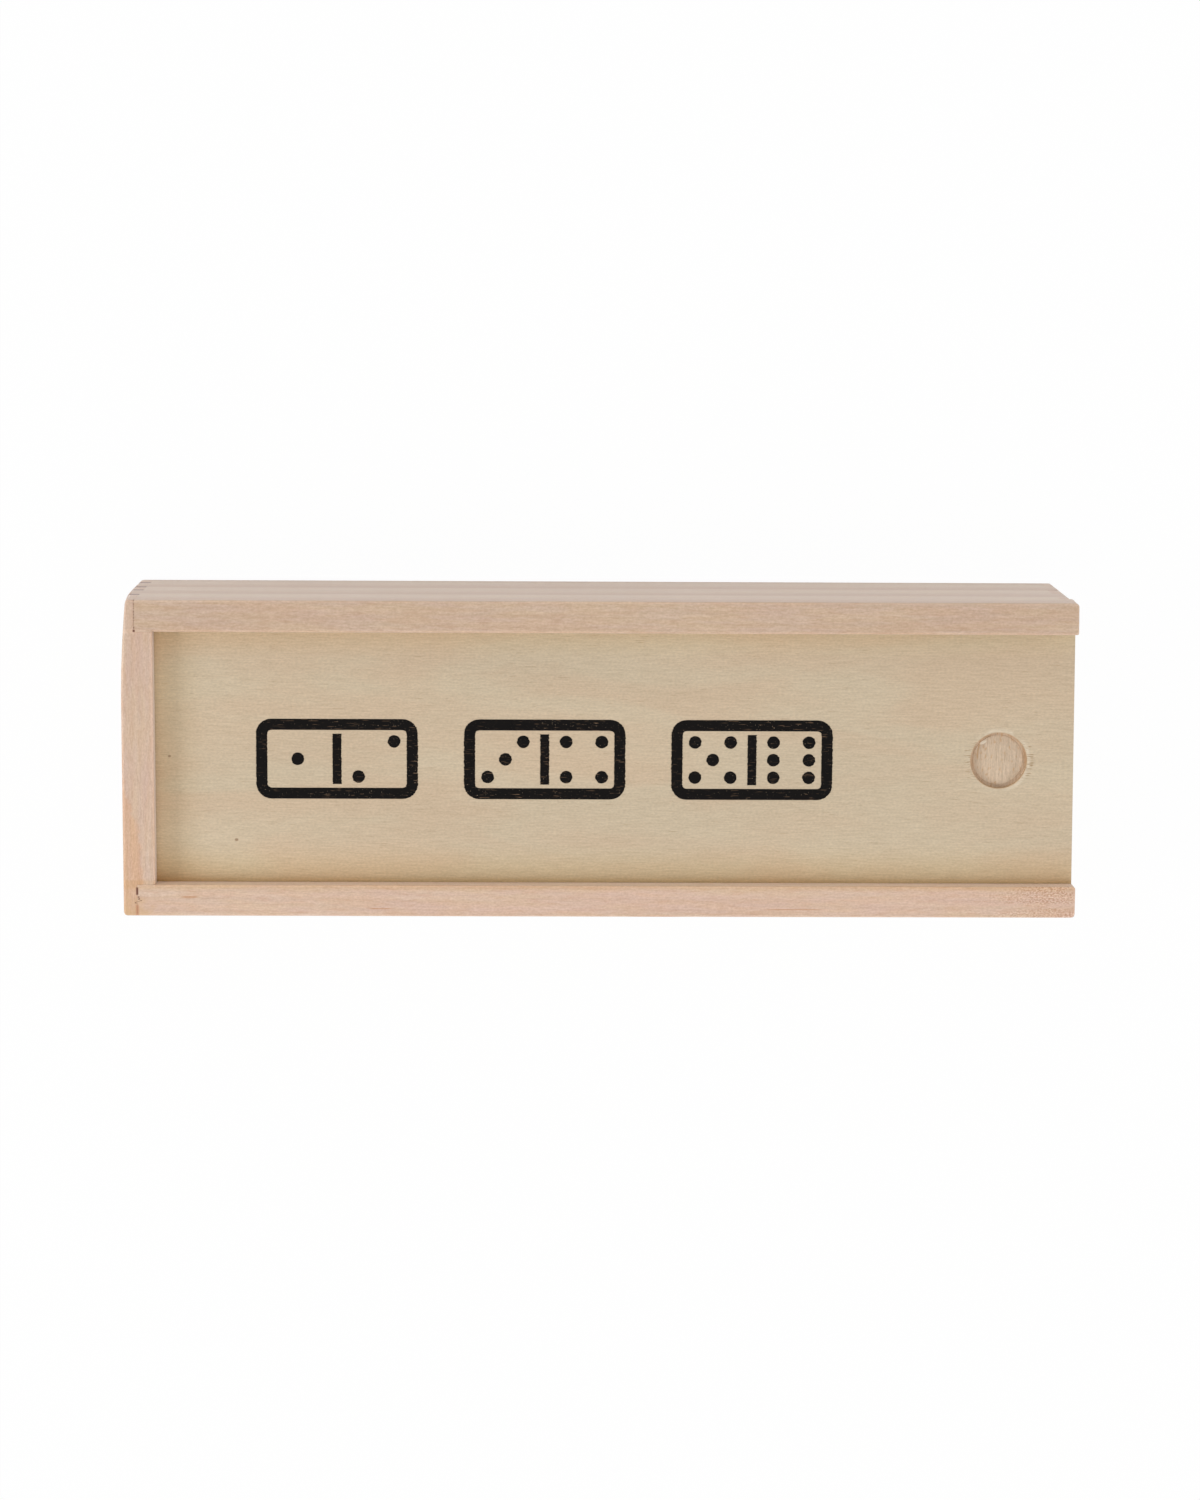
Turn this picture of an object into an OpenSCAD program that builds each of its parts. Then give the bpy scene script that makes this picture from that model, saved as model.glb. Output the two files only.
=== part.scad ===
// Wooden game box with a sliding plywood lid, holding its set of domino tiles.
// Millimetres. The box lies flat with its lid up: +X is the way the lid pulls out, +Z is up,
// and the origin is the middle of the underside.
// The tiles set the size of the cavity, and the cavity, walls and grooves set everything else.

/* [Tiles] */
// Length of a tile, which lies across the box
tile_l = 39; // [34:0.5:46]
// Width of a tile, which lies along the box
tile_w = 19.5; // [18:0.5:24]
// Thickness of a tile
tile_t = 4.9; // [4:0.1:8]
// Most dots on half a tile; the set has one tile for each pair of numbers
most_dots = 6; // [2:2:6]
// Radius of a tile's four corners, seen from above
tile_corner_r = 1.2; // [0.8:0.1:3]
// Radius of the rubbed edges round a tile's faces
tile_edge_r = 0.4; // [0.2:0.1:0.8]
// Diameter of a dot's hollow at the face
dot_d = 2.6; // [1.6:0.1:3.2]
// Depth of a dot's hollow
dot_depth = 0.5; // [0.2:0.1:0.7]
// Distance from one dot to the next in a row
dot_pitch = 5.2; // [4.2:0.1:6]
// Width of the line between the halves
line_w = 0.9; // [0.5:0.1:1.6]
// Depth of the line between the halves
line_depth = 0.35; // [0.2:0.05:0.6]
// Distance from each end of the line to the tile's edge
line_margin = 2; // [1:0.1:4]

/* [Room for the tiles] */
// Free length along the box for each stack of tiles
stack_play = 0.4; // [0.2:0.1:1.5]
// Free space at each end of a tile, across the box
side_play = 0.5; // [0.2:0.1:1.5]
// Free height over the top tiles, up to the rails that the lid slides on
head_room = 0.6; // [0.3:0.1:2]

/* [Walls] */
// Thickness of the two long walls
side_t = 5; // [4.5:0.1:8]
// Thickness of the two end walls
end_t = 5; // [4.5:0.1:8]
// Height of the lips that hold the lid down
lip_h = 3; // [2:0.1:5]
// How far the long walls' ends stand past the low end wall
lip_proud = 0.7; // [0.3:0.1:1.5]
// Height of the bottom panel's underside over the table
foot_h = 1.5; // [1:0.1:4]
// Radius of the upright outer corners, seen from above
corner_r = 0.8; // [0.5:0.1:1.5]
// Radius of the outer edges along the top and the underside
edge_r = 0.6; // [0.3:0.1:1.5]
// Radius of the lips' inner edges and inner end corners
lip_r = 0.5; // [0.3:0.1:1]

/* [Corner joints] */
// Thickness of each end wall's tongue, which laps the long walls' ends
lap_t = 2.2; // [1.6:0.1:3]
// Height of a finger
finger_h = 6.3; // [4:0.1:7]
// Height from one finger to the next
finger_pitch = 10.8; // [10:0.1:14]
// Height of the lowest finger over the underside
finger_z = 4.8; // [4.4:0.1:6]
// Gap over and under each finger in its notch
finger_gap = 0.12; // [0.05:0.01:0.2]

/* [Bottom panel] */
// Thickness of the bottom panel
panel_t = 2; // [1.5:0.1:3]
// Depth of the groove that holds the bottom panel
panel_groove_d = 2; // [1.5:0.1:2.5]
// Gap between the panel's edge and the bottom of its groove
panel_play = 0.2; // [0.1:0.05:0.3]

/* [Lid] */
// Thickness of the lid's face veneer
face_ply_t = 0.8; // [0.5:0.1:0.9]
// Thickness of the lid's cross-grained core
core_ply_t = 1.4; // [1.2:0.1:2]
// Thickness of the lid's back veneer
back_ply_t = 0.8; // [0.5:0.1:1.2]
// Depth of the groove that the lid runs in
lid_groove_d = 2.5; // [2:0.1:3]
// Gap over and under the lid in its groove
lid_play = 0.15; // [0.1:0.05:0.3]
// Gap between the lid's edges and the bottom of its groove
lid_side_play = 0.3; // [0.2:0.05:0.5]
// How far the lid's outer end stops inside the lips' ends
lid_inset = 0.25; // [0:0.05:1]

/* [Thumb recess] */
// Diameter of the round recess that a fingertip pulls on
thumb_d = 8.9; // [7:0.1:14]
// Depth of the recess
thumb_depth = 1; // [0.9:0.1:1.6]
// Distance from the lid's outer end to the middle of the recess
thumb_from_end = 12; // [8:0.5:30]
// Distance of the recess from the lid's centre line
thumb_off_centre = -0.3; // [-2:0.1:2]

/* [Hidden] */
$fn = 64;
CUT = 1; // how far a cutter runs past the face it cuts, and a blank past what is sanded off
TILES = [for (a = [0 : most_dots]) for (b = [a : most_dots]) [a, b]];
TILE_NAMES = [for (t = TILES) str("tile_", t[0], "_", t[1])];

// The tiles lie flat: one stack for each number of dots, from none to the most.
stacks = most_dots + 1;
layers = len(TILES) / stacks;
stack_pitch = tile_w + stack_play;

cavity_l = stacks * stack_pitch;
cavity_w = tile_l + 2 * side_play;
lid_t = face_ply_t + core_ply_t + back_ply_t;

box_l = end_t + cavity_l + end_t + lip_proud;
box_w = cavity_w + 2 * side_t;

// Heights, from the table up
panel_top = foot_h + panel_t;
rail_z = panel_top + layers * tile_t + head_room;
groove_top = rail_z + lid_t + 2 * lid_play;
box_h = groove_top + lip_h;
lid_z = rail_z + lid_play;
lid_top = lid_z + lid_t;

// Places along the box, from the closed end to the end where the lid comes out
closed_x = -box_l / 2;
cavity_x = closed_x + end_t;
low_cavity_x = cavity_x + cavity_l;
low_x = low_cavity_x + end_t;
open_x = box_l / 2;
lid_x = cavity_x - lid_groove_d + lid_side_play;
lid_l = open_x - lid_inset - lid_x;
lid_w = cavity_w + 2 * (lid_groove_d - lid_side_play);
thumb_x = lid_x + lid_l - thumb_from_end;

finger_count = floor((rail_z - finger_z - finger_h) / finger_pitch) + 1;
dot_sphere_r = (dot_d * dot_d / 4 + dot_depth * dot_depth) / (2 * dot_depth);

WALL_COLOR = [0.83, 0.71, 0.62];
PLY_COLOR = [0.79, 0.71, 0.58];
CORE_COLOR = [0.73, 0.62, 0.47];
TILE_COLOR = [0.09, 0.085, 0.08];

// ---- Shapes that several pieces share ----

// What a rounded corner at the origin loses: the corner points to -X and -Y
module corner_waste(r)
    difference() {
        translate([-CUT, -CUT]) square(r + CUT);
        translate([r, r]) circle(r);
    }

// A rectangle from the origin with all four corners rounded
module rounded_rect(size, r)
    difference() {
        square(size);
        corner_waste(r);
        translate([size[0], 0]) mirror([1, 0]) corner_waste(r);
        translate([0, size[1]]) mirror([0, 1]) corner_waste(r);
        translate(size) rotate(180) corner_waste(r);
    }

// Puts a shape drawn in Y and Z on end, and extrudes it along X from x0 to x1
module along_x(x0, x1)
    translate([x0, 0, 0]) rotate([90, 0, 90]) linear_extrude(x1 - x0) children();

// Stands a shape drawn in X and Z up, and extrudes it along Y from y0 to y1
module along_y(y0, y1)
    translate([0, y1, 0]) rotate([90, 0, 0]) linear_extrude(y1 - y0) children();

// What rounding takes off an upright block between two corners: the edges round its top and
// its underside. The block's corners are rounded before, in its outline from above.
module edge_waste(low, high, r) {
    middle = (low + high) / 2;
    half = (high - low) / 2;
    translate(middle)
        for (side = [0, 1], top = [0, 1])
            mirror([0, side, 0]) mirror([0, 0, top]) along_x(-half[0] - CUT, half[0] + CUT)
                translate([-half[1], -half[2]]) corner_waste(r);
    translate(middle)
        for (end = [0, 1], top = [0, 1])
            mirror([end, 0, 0]) mirror([0, 0, top]) along_y(-half[1] - CUT, half[1] + CUT)
                translate([-half[0], -half[2]]) corner_waste(r);
}

// The outside of the glued and sanded box, with its open end at x_end. The low end wall and the
// fingers are sanded back to low_x, and the rails over them run out to open_x.
module sanded_block(x_end)
    difference() {
        linear_extrude(box_h)
            translate([closed_x, -box_w / 2])
                rounded_rect([x_end - closed_x, box_w], corner_r);
        edge_waste([closed_x, -box_w / 2, 0], [x_end, box_w / 2, box_h], edge_r);
    }

// The slot that the lid runs in: round three sides, and out at the open end
module lid_groove()
    translate([cavity_x - lid_groove_d, -cavity_w / 2 - lid_groove_d, rail_z])
        cube([box_l, cavity_w + 2 * lid_groove_d, groove_top - rail_z]);

// The slot round the foot of all four walls
module panel_groove()
    translate([cavity_x - panel_groove_d, -cavity_w / 2 - panel_groove_d, foot_h])
        cube([cavity_l + 2 * panel_groove_d, cavity_w + 2 * panel_groove_d, panel_t]);

// The fingers of the long walls at both ends, drawn in X and Z, a gap larger over and under.
// They start inside the board and run past its end, where they are sanded flush.
module fingers(gap)
    for (x0 = [closed_x - CUT, low_x - lap_t - CUT], i = [0 : finger_count - 1])
        translate([x0, finger_z + i * finger_pitch - gap])
            square([lap_t + 2 * CUT, finger_h + 2 * gap]);

// ---- The box ----

// A long wall's board and fingers from the side, with something to sand off all round
module board_view() {
    translate([closed_x + lap_t, -CUT]) square([low_x - closed_x - 2 * lap_t, box_h + 2 * CUT]);
    fingers(0);
}

// The run of its rail and lip over the low end wall
module rail_view()
    translate([low_cavity_x, rail_z]) square([end_t + lip_proud + CUT, box_h - rail_z + CUT]);

// What rounding takes off the inner edge and the inner end corner of the +Y lip
module lip_waste() {
    along_x(cavity_x, open_x + CUT)
        translate([cavity_w / 2, box_h]) mirror([0, 1]) corner_waste(lip_r);
    translate([open_x, cavity_w / 2, groove_top - CUT]) linear_extrude(lip_h + 2 * CUT)
        mirror([1, 0]) corner_waste(lip_r);
}

// The long wall on the +Y side
module side_wall()
    color(WALL_COLOR)
        difference() {
            union() {
                intersection() {
                    sanded_block(low_x);
                    along_y(cavity_w / 2, box_w / 2 + CUT) board_view();
                }
                intersection() {
                    sanded_block(open_x);
                    along_y(cavity_w / 2, box_w / 2 + CUT) rail_view();
                }
            }
            lid_groove();
            panel_groove();
            lip_waste();
        }

module side_wall_back() side_wall();

module side_wall_front() mirror([0, 1, 0]) side_wall();

// A blank for an end wall with its outside at x = 0 and its inside towards +X: the tongue, which
// laps the long walls' ends, and the part between them. It is cut to height at z = h.
module end_blank(h) {
    translate([-CUT, -box_w / 2 - CUT, -CUT]) cube([lap_t + CUT, box_w + 2 * CUT, h + CUT]);
    translate([-CUT, -cavity_w / 2, -CUT]) cube([end_t + CUT, cavity_w, h + CUT]);
}

// The notches that the fingers of both long walls come through
module notches()
    for (side = [0, 1])
        mirror([0, side, 0]) along_y(cavity_w / 2, box_w / 2 + CUT) fingers(finger_gap);

// What rounding takes off an end wall's inner top edge, with its inside towards +X
module inner_edge_waste(x, z)
    along_y(-cavity_w / 2 - CUT, cavity_w / 2 + CUT)
        translate([x, z]) rotate(180) corner_waste(lip_r);

// The full-height end wall, which the lid's inner end slides into
module end_wall()
    color(WALL_COLOR)
        difference() {
            intersection() {
                sanded_block(open_x);
                translate([closed_x, 0, 0]) end_blank(box_h + CUT);
            }
            lid_groove();
            panel_groove();
            notches();
            inner_edge_waste(cavity_x, box_h);
        }

// The low end wall, which the lid slides over
module low_end_wall()
    color(WALL_COLOR)
        difference() {
            intersection() {
                sanded_block(low_x);
                translate([low_x, 0, 0]) mirror([1, 0, 0]) end_blank(rail_z);
            }
            panel_groove();
            notches();
            mirror([1, 0, 0]) inner_edge_waste(-low_cavity_x, rail_z);
        }

// The bottom, held in its groove by all four walls
module bottom_panel()
    color(PLY_COLOR)
        translate([cavity_x - panel_groove_d + panel_play,
                   -cavity_w / 2 - panel_groove_d + panel_play, foot_h])
            cube([cavity_l + 2 * (panel_groove_d - panel_play),
                  cavity_w + 2 * (panel_groove_d - panel_play), panel_t]);

// ---- The lid ----

// The round recess, as the drill cuts it down from the lid's face
module thumb_recess()
    translate([thumb_x, thumb_off_centre, lid_top - thumb_depth])
        cylinder(h = thumb_depth + CUT, d = thumb_d);

// One layer of the lid's plywood, from height z up
module ply(z, t)
    difference() {
        translate([lid_x, -lid_w / 2, z]) cube([lid_l, lid_w, t]);
        thumb_recess();
    }

module lid_back_ply() color(PLY_COLOR) ply(lid_z, back_ply_t);

module lid_core_ply() color(CORE_COLOR) ply(lid_z + back_ply_t, core_ply_t);

module lid_face_ply() color(PLY_COLOR) ply(lid_top - face_ply_t, face_ply_t);

// ---- The tiles ----

// Where the dots of one number lie round the middle of their half: along the tile and across
// it. Odd numbers have one in the middle, and the rest are added in opposite pairs.
function dots(n) = concat(
    n % 2 == 1 ? [[0, 0]] : [],
    n >= 2 ? [[-1, -1], [1, 1]] : [],
    n >= 4 ? [[-1, 1], [1, -1]] : [],
    n == 6 ? [[0, -1], [0, 1]] : []);

// The hollows of one half, with the tile's face at z = 0
module half_dots(n)
    for (d = dots(n))
        translate([d[1] * dot_pitch, d[0] * dot_pitch, dot_sphere_r - dot_depth])
            sphere(dot_sphere_r);

// A tile without its dots: round corners from above, and rubbed edges
module tile_blank()
    difference() {
        linear_extrude(tile_t)
            translate([-tile_w / 2, -tile_l / 2]) rounded_rect([tile_w, tile_l], tile_corner_r);
        edge_waste([-tile_w / 2, -tile_l / 2, 0], [tile_w / 2, tile_l / 2, tile_t], tile_edge_r);
    }

// A tile with a dots on one half and b on the other, lying face up
module tile(a, b)
    color(TILE_COLOR)
        difference() {
            tile_blank();
            translate([0, -tile_l / 4, tile_t]) half_dots(a);
            translate([0, tile_l / 4, tile_t]) half_dots(b);
            translate([line_margin - tile_w / 2, -line_w / 2, tile_t - line_depth])
                cube([tile_w - 2 * line_margin, line_w, line_depth + CUT]);
        }

// The tile with number i in the set, in its place: the stacks fill one after another
module stacked_tile(i)
    translate([cavity_x + (floor(i / layers) + 0.5) * stack_pitch, 0,
               panel_top + (i % layers) * tile_t])
        tile(TILES[i][0], TILES[i][1]);

side_wall_front();
side_wall_back();
end_wall();
low_end_wall();
bottom_panel();
lid_face_ply();
lid_core_ply();
lid_back_ply();
for (i = [0 : len(TILES) - 1])
    stacked_tile(i);
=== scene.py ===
# %% [markdown]
# # A wooden domino box with a sliding lid
#
# This notebook dresses a finished construction model in Blender. The model, called the frame here,
# already has every board, ply and tile at its real size and place. What it lacks is looks: soft
# edges, grain, end grain, a scorched thumb recess, a print and painted dots.
#
# We start by loading the frame, and note the size of the whole box.

# %% Load the frame
import math

import bmesh
import bpy
from mathutils import Matrix, Vector, noise


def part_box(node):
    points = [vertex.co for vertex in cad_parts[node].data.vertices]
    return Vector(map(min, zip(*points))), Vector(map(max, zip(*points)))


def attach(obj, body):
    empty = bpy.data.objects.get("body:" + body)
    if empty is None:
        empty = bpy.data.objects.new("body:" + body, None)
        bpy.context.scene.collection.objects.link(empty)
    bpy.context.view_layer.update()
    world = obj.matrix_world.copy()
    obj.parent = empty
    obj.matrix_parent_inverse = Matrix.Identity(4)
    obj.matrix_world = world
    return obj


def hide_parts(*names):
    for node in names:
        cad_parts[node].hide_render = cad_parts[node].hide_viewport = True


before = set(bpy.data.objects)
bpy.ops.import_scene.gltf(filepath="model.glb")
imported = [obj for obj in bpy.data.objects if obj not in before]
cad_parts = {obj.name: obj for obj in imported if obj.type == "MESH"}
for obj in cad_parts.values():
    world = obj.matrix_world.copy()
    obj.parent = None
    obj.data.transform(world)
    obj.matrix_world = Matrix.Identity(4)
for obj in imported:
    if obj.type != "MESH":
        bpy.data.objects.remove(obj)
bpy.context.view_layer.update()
print("pieces in the frame:", len(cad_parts))

# %% [markdown]
# ## Measures that come from the frame
#
# A size that the frame knows isn't typed again. We think in millimetres and multiply by `MM`,
# because the numbers are then the ones that a woodworker would say.

# %% Measures
MM = 0.001
CLOSED_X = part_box("end_wall")[0].x
OPEN_X, BACK_Y, TOP_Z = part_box("side_wall_back")[1]
LID_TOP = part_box("lid_face_ply")[1].z
print("box, mm:", [round(side / MM, 2) for side in (OPEN_X - CLOSED_X, 2 * BACK_Y, TOP_Z)])

# %% [markdown]
# ## Camera
#
# The picture was taken from above, a little behind the box's back wall, with a long lens. Its
# place, tilt and lens were found by matching the box's corners and edges, so they are plain numbers
# here. A long lens is the right one for a product picture: from 0.6 m away the back wall shows only
# as a narrow strip, and the box's far and near ends are almost the same width.

# %% Camera
CAMERA_PLACE = Vector((-9.99, 89.21, 598.91)) * MM
CAMERA_TILT = math.radians(-8.747)
CAMERA_LEAN = math.radians(-0.974)
CAMERA_ROLL = math.radians(0.183)
CAMERA_LENS = 88.27  # mm, for a picture whose long side is 36 mm

camera = bpy.data.objects.new("camera", bpy.data.cameras.new("camera"))
bpy.context.scene.collection.objects.link(camera)
turn = Matrix.Rotation(CAMERA_TILT, 4, "X") @ Matrix.Rotation(CAMERA_LEAN, 4, "Y")
camera.matrix_world = Matrix.Translation(CAMERA_PLACE) @ turn @ Matrix.Rotation(CAMERA_ROLL, 4, "Z")
camera.data.lens = CAMERA_LENS
camera.data.sensor_width = 36
bpy.context.scene.camera = camera
bpy.context.scene.view_settings.view_transform = "Standard"
print("camera height, mm:", round(camera.location.z / MM))

# %% [markdown]
# ## Finishes, node by node
#
# A Blender material is a graph of nodes. Typing `nodes.new` and `links.new` for each one hides the
# idea behind the plumbing, so this small class does the plumbing. Each method adds a node or a few
# and returns the socket that leaves the last one. A value that is a plain number is set on the
# socket, and one that is a socket is linked to it.
#
# Every pattern reads Object coordinates. All pieces sit at the origin, so one pattern runs on from
# piece to piece, and `millimetres()` scales it so that a noise of scale 1 is about 1 mm in size.
# `tint` multiplies a colour by another instead of mixing it in: a fibre is then a darker or paler
# version of the wood round it, whatever that wood's colour is.

# %% A class that builds a material
class Finish:
    """One material. Each method adds nodes and returns the socket that leaves the last one."""

    def __init__(self, name):
        self.material = bpy.data.materials.new(name)
        self.material.use_nodes = True
        self.tree = self.material.node_tree
        self.shader = self.tree.nodes["Principled BSDF"]
        self.coordinates = self.node("ShaderNodeTexCoord")

    def node(self, kind, **settings):
        node = self.tree.nodes.new(kind)
        for setting, value in settings.items():
            setattr(node, setting, value)
        return node

    def feed(self, socket, value):
        if isinstance(value, bpy.types.NodeSocket):
            self.tree.links.new(value, socket)
        elif socket.type == "VECTOR":
            socket.default_value = value[:3]
        else:
            socket.default_value = value

    def mapped(self, vector, place=(0, 0, 0), turn=(0, 0, 0), scale=(1, 1, 1)):
        node = self.node("ShaderNodeMapping")
        self.feed(node.inputs["Vector"], vector)
        node.inputs["Location"].default_value = place
        node.inputs["Rotation"].default_value = turn
        node.inputs["Scale"].default_value = scale
        return node.outputs["Vector"]

    def millimetres(self):
        return self.mapped(self.coordinates.outputs["Object"], scale=(1000, 1000, 1000))

    def apart(self, vector):
        node = self.node("ShaderNodeSeparateXYZ")
        self.feed(node.inputs["Vector"], vector)
        return node.outputs["X"], node.outputs["Y"], node.outputs["Z"]

    def axes(self):
        """X, Y and Z in millimetres."""
        return self.apart(self.millimetres())

    def length(self, vector):
        node = self.node("ShaderNodeVectorMath", operation="LENGTH")
        self.feed(node.inputs[0], vector)
        return node.outputs["Value"]

    def math(self, operation, a, b=0.0, c=0.0):
        node = self.node("ShaderNodeMath", operation=operation)
        for socket, value in zip(node.inputs, (a, b, c)):
            self.feed(socket, value)
        return node.outputs["Value"]

    def all_of(self, first, *others):
        """Shares multiplied: 1 only where each of them is 1."""
        for other in others:
            first = self.math("MULTIPLY", first, other)
        return first

    def any_of(self, first, *others):
        """The greatest share: 1 where one of them is 1."""
        for other in others:
            first = self.math("MAXIMUM", first, other)
        return first

    def away(self, value, centre):
        """How far a value is from a centre, on either side of it."""
        return self.math("ABSOLUTE", self.math("SUBTRACT", value, centre))

    def noise(self, vector, stretch=None, scale=1.0, detail=2.0, roughness=0.5, distortion=0.0):
        node = self.node("ShaderNodeTexNoise")
        self.feed(node.inputs["Vector"], self.mapped(vector, scale=stretch) if stretch else vector)
        node.inputs["Scale"].default_value = scale
        node.inputs["Detail"].default_value = detail
        node.inputs["Roughness"].default_value = roughness
        node.inputs["Distortion"].default_value = distortion
        return node.outputs["Fac"]

    def spread(self, value, low, high, to_low=0.0, to_high=1.0):
        """Runs softly from one result to the other as the value goes from low to high."""
        node = self.node("ShaderNodeMapRange", interpolation_type="SMOOTHSTEP")
        self.feed(node.inputs["Value"], value)
        node.inputs["From Min"].default_value = low
        node.inputs["From Max"].default_value = high
        node.inputs["To Min"].default_value = to_low
        node.inputs["To Max"].default_value = to_high
        return node.outputs["Result"]

    def between(self, value, low, high, soft):
        """1 where the value lies between two limits, fading to 0 over a soft width."""
        rise = self.spread(value, low - soft, low + soft)
        fall = self.spread(value, high - soft, high + soft, 1.0, 0.0)
        return self.all_of(rise, fall)

    def mix(self, share, first, second, blend="MIX"):
        node = self.node("ShaderNodeMix", data_type="RGBA", blend_type=blend)
        self.feed(node.inputs[0], share)
        self.feed(node.inputs[6], first)
        self.feed(node.inputs[7], second)
        return node.outputs[2]

    def tone(self, colour, factor):
        """The colour times a grey factor, which may pass 1."""
        node = self.node("ShaderNodeVectorMath", operation="SCALE")
        self.feed(node.inputs[0], colour)
        self.feed(node.inputs["Scale"], factor)
        return node.outputs["Vector"]

    def tint(self, colour, share, high, low=(1.0, 1.0, 1.0)):
        """The colour times another, which runs from low to high as the share goes from 0 to 1."""
        return self.mix(1.0, colour, self.mix(share, (*low, 1.0), (*high, 1.0)), "MULTIPLY")

    def surface(self, colour, roughness, bump, bump_mm, specular=0.5, sheen=0.0):
        self.feed(self.shader.inputs["Base Color"], colour)
        self.feed(self.shader.inputs["Roughness"], roughness)
        self.shader.inputs["Specular IOR Level"].default_value = specular
        self.shader.inputs["Sheen Weight"].default_value = sheen
        self.shader.inputs["Sheen Roughness"].default_value = 0.35
        node = self.node("ShaderNodeBump")
        node.inputs["Distance"].default_value = bump_mm * MM
        self.feed(node.inputs["Height"], bump)
        self.feed(self.shader.inputs["Normal"], node.outputs["Normal"])
        return self.material


def paint_tone(red, green, blue):
    """A colour as a paint program shows it, 0 to 255, turned into the linear one that shaders use."""
    shares = [value / 255 for value in (red, green, blue)]
    linear = [s / 12.92 if s <= 0.04045 else ((s + 0.055) / 1.055) ** 2.4 for s in shares]
    return (*linear, 1.0)


print("a mid tone of the wood, linear:", [round(c, 3) for c in paint_tone(204, 180, 156)])

# %% [markdown]
# ## Background
#
# The box lies on white, in very even light. If white came from more light, the pale wood would
# burn out, so the light stays at a level where wood renders as its own colour, and the white comes
# from what the camera's rays meet. For them, and for what shows in a gloss or through glass, the
# sky is plain white, while for all other rays it is a dim, even light. The Light Path node tells
# the two kinds of ray apart.

# %% Background
SKY_LEVEL = 0.405


def seen_directly(tree):
    """1 for rays from the camera, or seen in a gloss or through glass; 0 for rays that only light."""
    path = tree.nodes.new("ShaderNodeLightPath")
    total = path.outputs["Is Camera Ray"]
    for other in ("Is Glossy Ray", "Is Transmission Ray"):
        greatest = tree.nodes.new("ShaderNodeMath")
        greatest.operation = "MAXIMUM"
        tree.links.new(total, greatest.inputs[0])
        tree.links.new(path.outputs[other], greatest.inputs[1])
        total = greatest.outputs["Value"]
    return total


def mixed(tree, share, first, second):
    """A Mix Shader of two shaders, by a number or a socket."""
    node = tree.nodes.new("ShaderNodeMixShader")
    if isinstance(share, bpy.types.NodeSocket):
        tree.links.new(share, node.inputs["Fac"])
    else:
        node.inputs["Fac"].default_value = share
    tree.links.new(first, node.inputs[1])
    tree.links.new(second, node.inputs[2])
    return node.outputs["Shader"]


world = bpy.data.worlds.new("studio")
world.use_nodes = True
bpy.context.scene.world = world
sky = world.node_tree.nodes["Background"]
sky.inputs["Color"].default_value = (1, 1, 1, 1)
sky.inputs["Strength"].default_value = SKY_LEVEL
white = world.node_tree.nodes.new("ShaderNodeBackground")
white.inputs["Color"].default_value = (1, 1, 1, 1)
seen = seen_directly(world.node_tree)
sky_or_white = mixed(world.node_tree, seen, sky.outputs[0], white.outputs[0])
world.node_tree.links.new(sky_or_white, world.node_tree.nodes["World Output"].inputs["Surface"])
print("sky level:", SKY_LEVEL)

# %% [markdown]
# ## Floor
#
# The floor is white paper. A floor that only glowed would lose the box's shadow, and paper alone
# would render grey in this light. So what the camera sees is mostly a plain glow, with a small
# share of real paper that still takes the shadow. It lies a hair under the box: two faces in one
# plane would fight for the same pixels.

# %% Floor
FLOOR_RADIUS = 4.0
FLOOR_DROP = 0.05 * MM
FLOOR_WHITE = paint_tone(240, 240, 238)
GLOW_SHARE = 0.975

floor_mesh = bmesh.new()
floor_place = Matrix.Translation((0, 0, -FLOOR_DROP))
bmesh.ops.create_circle(floor_mesh, cap_ends=True, segments=64, radius=FLOOR_RADIUS, matrix=floor_place)
floor_data = bpy.data.meshes.new("floor")
floor_mesh.to_mesh(floor_data)
floor_mesh.free()
floor = bpy.data.objects.new("floor", floor_data)
bpy.context.scene.collection.objects.link(floor)

paper = bpy.data.materials.new("white_paper")
paper.use_nodes = True
tree = paper.node_tree
matte = tree.nodes.new("ShaderNodeBsdfDiffuse")
matte.inputs["Color"].default_value = FLOOR_WHITE
glow = tree.nodes.new("ShaderNodeEmission")
glow.inputs["Color"].default_value = (1, 1, 1, 1)
pale = mixed(tree, GLOW_SHARE, matte.outputs[0], glow.outputs[0])
paper_look = mixed(tree, seen_directly(tree), matte.outputs[0], pale)
tree.links.new(paper_look, tree.nodes["Material Output"].inputs["Surface"])
floor_data.materials.append(paper)
print("floor radius, m:", FLOOR_RADIUS)

# %% [markdown]
# ## Lamps
#
# Four soft lamps add to the sky. A low one at the left throws the closed end's shadow on the lid. A
# very broad, high one in front gives the front lip its soft shadow. Low ones behind and at the right
# light the sides that look that way: lit lips throw warm light back on the lid, which browns the
# shadows on it, and painted shade next to the lips browns them further. One stronger lamp would be
# simpler, but its shadows would be hard and deep, and the picture has none of those.

# %% Lamps
LAMPS = [  # name, place and side in metres, watts
    ("left_lamp", (-1.15, -0.15, 0.67), 0.45, 6.1),
    ("front_lamp", (0.10, -0.75, 1.15), 1.25, 6.4),
    ("back_lamp", (-0.35, 1.15, 0.30), 0.6, 3.4),
    ("right_lamp", (1.25, 0.15, 0.40), 0.6, 5.0),
]


def soft_lamp(name, place, side, watts):
    """A square lamp that faces the middle of the lid."""
    lamp = bpy.data.lights.new(name, "AREA")
    lamp.size = side
    lamp.energy = watts
    holder = bpy.data.objects.new(name, lamp)
    holder.location = place
    aim = Vector((0, 0, LID_TOP)) - holder.location
    holder.rotation_euler = aim.to_track_quat("-Z", "Y").to_euler()
    bpy.context.scene.collection.objects.link(holder)


for lamp in LAMPS:
    soft_lamp(*lamp)

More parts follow.
